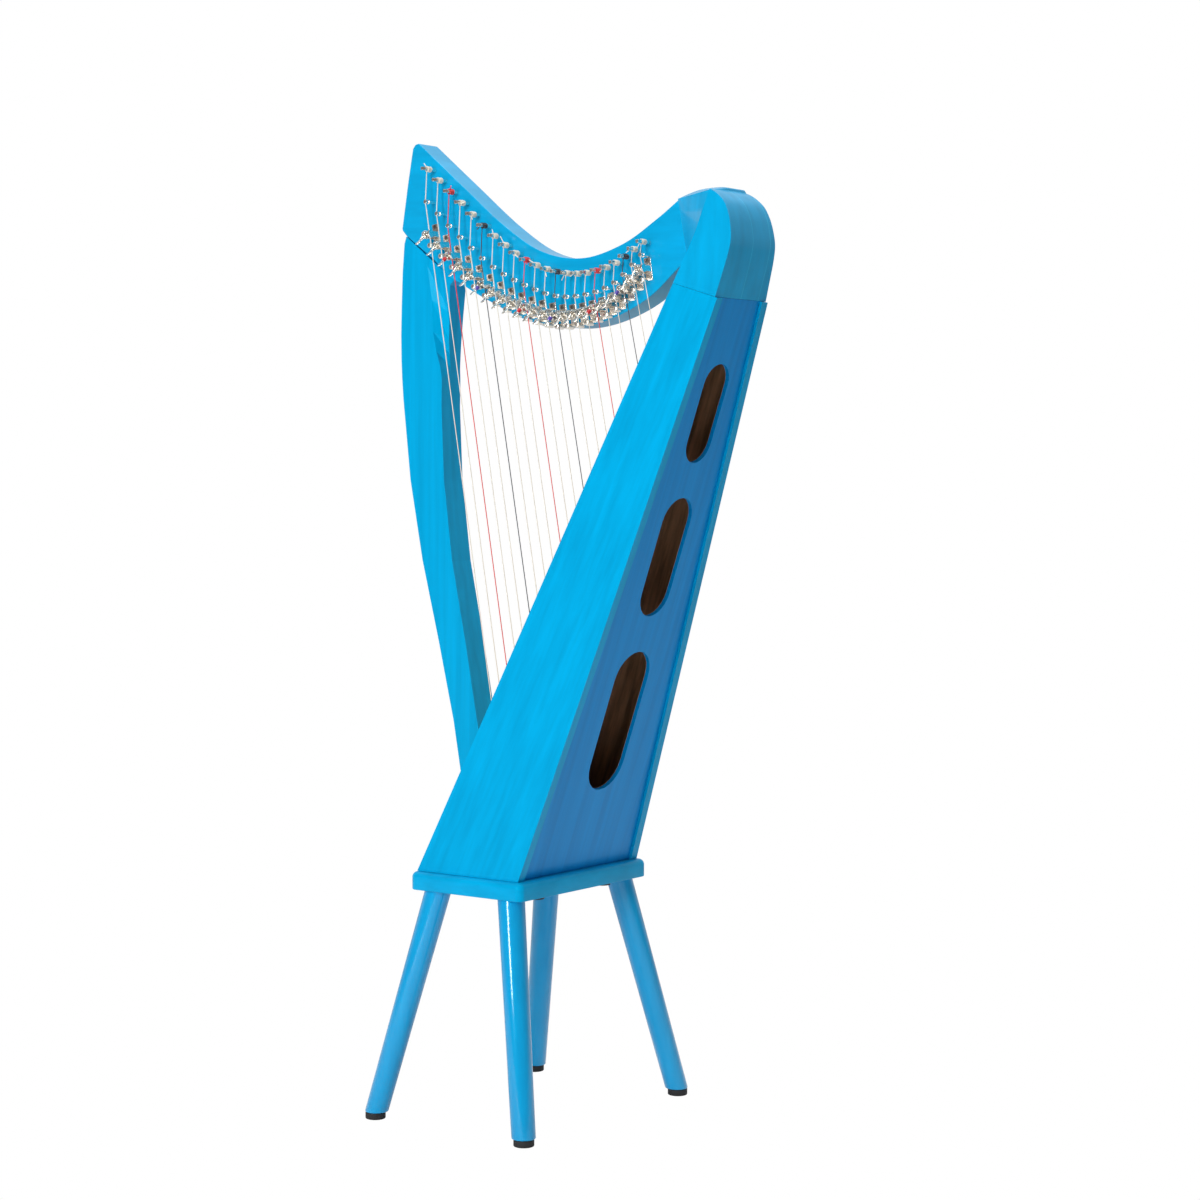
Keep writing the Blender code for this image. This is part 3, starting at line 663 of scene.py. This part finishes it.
def make_strings():
    low, high = RIB_ENDS
    near = leaning_inset(GAP, FRONT_LEAN)
    far = leaning_inset(GAP + RIB_THICKNESS, FRONT_LEAN)
    outline = [(FRONT_X + FRONT_LEAN * (z - PLATE_TOP) - inset, z)
               for z, inset in ((low, near), (high, near), (high, far), (low, far))]
    new_piece("string_rib", [flat_piece(outline, -RIB_WIDTH / 2, RIB_WIDTH / 2)], "rib_wood", "frame",
              ("strings",), bevel=RIB_EDGE)
    groups = {}
    for i in range(STRINGS):
        groups.setdefault(string_look(i + 1), []).append(string_rings(i))
    for look, solids in groups.items():
        new_piece(look.replace("string", "strings"), solids, look, "frame")
    out = Vector((-1, 0, FRONT_LEAN)).normalized()
    up = Vector((FRONT_LEAN, 0, 1)).normalized()
    eyelets = [[circle(string_foot(i) + out * rise, radius, 16, (0, 1, 0), up)
                for rise, radius in EYELET_PROFILE] for i in range(STRINGS)]
    new_piece("string_eyelets", eyelets, "brass", "frame")


def winding_rings(index):
    """The string's end wound round the tuning pin, as one tube."""
    radius = string_radius(index)
    start, end = TUNING_SLEEVE[0] + radius + 0.0002, TUNING_SLEEVE[1] - radius
    turns = int((end - start) / (2 * radius + 0.0001))
    coil = TUNING_SHANK_RADIUS + radius
    steps = turns * STEPS_PER_TURN
    rings = []
    for k in range(steps + 1):
        a = math.pi + 2 * math.pi * k / STEPS_PER_TURN
        out = Vector((math.cos(a), 0, math.sin(a)))
        centre = coil * out - Vector((0, start + (end - start) * k / steps, 0))
        rings.append(circle(centre, radius, 6, out, (0, 1, 0)))
    return rings


def pin_rings():
    """A tuning pin: a round shank, and a square head with rounded corners."""
    square = []
    for corner in range(4):
        for turn in (-12, -4, 4, 12):
            a = math.radians(45 + 90 * corner + turn)
            reach = TUNING_SQUARE / 2 / max(abs(math.cos(a)), abs(math.sin(a)))
            square.append((reach, math.cos(a), math.sin(a)))
    levels = [(-TUNING_DEPTH, 0), (TUNING_SLEEVE[1] + 0.0008, 0), (TUNING_SLEEVE[1] + 0.0020, 1.0),
              (TUNING_LENGTH - 0.0006, 1.0), (TUNING_LENGTH, 0.8)]
    rings = []
    for out, share in levels:
        radii = [share * reach if share else TUNING_SHANK_RADIUS for reach, _, _ in square]
        rings.append([Vector((r * x, -out, r * z)) for r, (_, x, z) in zip(radii, square)])
    return rings


def tail_rings(index, angle, reach):
    """The cut end of the string, which stands off the winding."""
    root = Vector((TAIL_ROOT_RADIUS * math.cos(angle), -TUNING_SLEEVE[1] + 0.0004,
                   TAIL_ROOT_RADIUS * math.sin(angle)))
    lean = angle + TAIL_TURN
    tip = root + reach * Vector((math.cos(lean), -0.3, math.sin(lean)))
    along = (tip - root).normalized()
    side = Vector((0, 1, 0)).cross(along).normalized()
    return [circle(root.lerp(tip, t), string_radius(index), 8, side, along.cross(side))
            for t in (0, 0.5, 1)]


def make_tuning_pins():
    rng = random.Random(4)
    pin = pin_rings()
    for i in range(STRINGS):
        place = Matrix.Translation(tuning_point(i))
        number = f"{i + 1:02d}"
        body = f"tuning_pin_{number}_body"
        look = string_look(i + 1)
        tail = tail_rings(i, rng.uniform(0, 2 * math.pi), rng.uniform(*TAIL_LENGTHS))
        new_piece(f"pin_{number}", [at(place, pin)], "nickel", body, (f"tuning_pin_{number}",))
        new_piece(f"winding_{number}", [at(place, winding_rings(i))], look, body)
        new_piece(f"tail_{number}", [at(place, tail)], look, body)


def collar_look(number):
    if number in RED_STRINGS:
        return "enamel_red"
    return "enamel_blue" if number in BLACK_STRINGS else "nickel"


def lever_section(share, half, depth, sides):
    """A ring round the lever's handle, this share of the way along it."""
    along = Vector((0, -math.cos(LEVER_REST), -math.sin(LEVER_REST)))
    thin = Vector((0, math.sin(LEVER_REST), -math.cos(LEVER_REST)))
    centre = Vector((LEVER_SIDE, 0, 0)) + along * share * LEVER_LENGTH
    return circle(centre, 1.0, sides, Vector((half, 0, 0)), thin * depth)


def make_levers():
    dome = [circle((x, 0, 0), share * DOME_RADIUS, 28, (0, 1, 0), (0, 0, 1))
            for x, share in curve_through(DOME_PROFILE, 2)]
    axle = [circle((x, 0, 0), AXLE_RADIUS, 16, (0, 1, 0), (0, 0, 1)) for x in AXLE_ENDS]
    handle = [lever_section(*station, 16) for station in curve_through(HANDLE_STATIONS, 4)]
    collar = [lever_section(share, radius, radius, 20) for share, radius in COLLAR_PROFILE]
    for i in range(STRINGS):
        number = f"{i + 1:02d}"
        place = lever_frame(i) @ Matrix.Translation((0, -LEVER_AXIS_OUT, 0))
        arm = [at(place, shape) for shape in (dome, axle, handle)]
        body = f"lever_{number}_body"
        new_piece(f"lever_arm_{number}", arm, "nickel", body, (f"lever_{number}",))
        new_piece(f"lever_collar_{number}", [at(place, collar)], collar_look(i + 1), body)


def make_camera():
    camera = bpy.data.objects.new("camera", bpy.data.cameras.new("camera"))
    bpy.context.scene.collection.objects.link(camera)
    camera.data.lens = CAMERA_LENS
    camera.data.sensor_width = CAMERA_SENSOR
    turn = Matrix.Rotation(math.radians(CAMERA_AZIMUTH), 4, "Z")
    tilt = Matrix.Rotation(math.radians(90 + CAMERA_PITCH), 4, "X")
    roll = Matrix.Rotation(math.radians(CAMERA_ROLL), 4, "Z")
    camera.matrix_world = Matrix.Translation(CAMERA_AT) @ turn @ tilt @ roll
    bpy.context.scene.camera = camera


def area_light(name, spot, sides, power):
    light = bpy.data.lights.new(name, "AREA")
    light.shape = "RECTANGLE"
    light.size, light.size_y = sides
    light.energy = power
    obj = bpy.data.objects.new(name, light)
    bpy.context.scene.collection.objects.link(obj)
    obj.location = spot
    obj.rotation_euler = (Vector(LAMPS_AIM) - Vector(spot)).to_track_quat("-Z", "Y").to_euler()


def make_floor_look():
    """White to the camera, pale to the light that falls on it."""
    mat, nodes, links, bsdf = node_material("floor", 0.9)
    noise = nodes.new("ShaderNodeTexNoise")
    noise.inputs["Scale"].default_value = 2.0
    ramp = ramp_node(nodes, (0.84, 0.84, 0.84), (0.86, 0.86, 0.86))
    links.new(noise.outputs["Fac"], ramp.inputs["Fac"])
    links.new(ramp.outputs["Color"], bsdf.inputs["Base Color"])
    white = nodes.new("ShaderNodeEmission")
    white.inputs["Strength"].default_value = 1.0
    path = nodes.new("ShaderNodeLightPath")
    mix = nodes.new("ShaderNodeMixShader")
    links.new(path.outputs["Is Camera Ray"], mix.inputs[0])
    links.new(bsdf.outputs["BSDF"], mix.inputs[1])
    links.new(white.outputs["Emission"], mix.inputs[2])
    links.new(mix.outputs["Shader"], nodes["Material Output"].inputs["Surface"])
    return mat


def make_world():
    """A white backdrop beyond the harp, and a dimmer room on the near side."""
    world = bpy.data.worlds.new("world")
    bpy.context.scene.world = world
    world.use_nodes = True
    nodes, links = world.node_tree.nodes, world.node_tree.links
    background = nodes["Background"]
    background.inputs["Color"].default_value = (1, 1, 1, 1)
    coords = nodes.new("ShaderNodeTexCoord")
    toward = nodes.new("ShaderNodeVectorMath")
    toward.operation = "DOT_PRODUCT"
    azimuth = math.radians(CAMERA_AZIMUTH)
    toward.inputs[1].default_value = (-math.sin(azimuth), math.cos(azimuth), 0)
    spread = nodes.new("ShaderNodeMapRange")
    spread.interpolation_type = "SMOOTHSTEP"
    spread.inputs["From Min"].default_value = -0.1
    spread.inputs["From Max"].default_value = 0.7
    spread.inputs["To Min"].default_value = ROOM_LIGHT
    spread.inputs["To Max"].default_value = BACKDROP_LIGHT
    path = nodes.new("ShaderNodeLightPath")
    seen = maths(nodes, links, "MAXIMUM", path.outputs["Is Camera Ray"], spread.outputs["Result"])
    links.new(coords.outputs["Generated"], toward.inputs[0])
    links.new(toward.outputs["Value"], spread.inputs["Value"])
    links.new(seen, background.inputs["Strength"])


def make_stage():
    bpy.ops.mesh.primitive_plane_add(size=FLOOR_SIZE)
    floor = bpy.context.object
    floor.name = "floor"
    floor.data.materials.append(make_floor_look())
    make_world()
    area_light("key", *KEY_LAMP)
    area_light("strip", *STRIP_LAMP)
    area_light("top", *TOP_LAMP)


make_looks()
dress_frame()
make_base_plate()
make_legs()
make_neck()
make_brackets()
make_strings()
make_tuning_pins()
make_levers()
make_camera()
make_stage()
bpy.context.scene.view_settings.view_transform = "Standard"
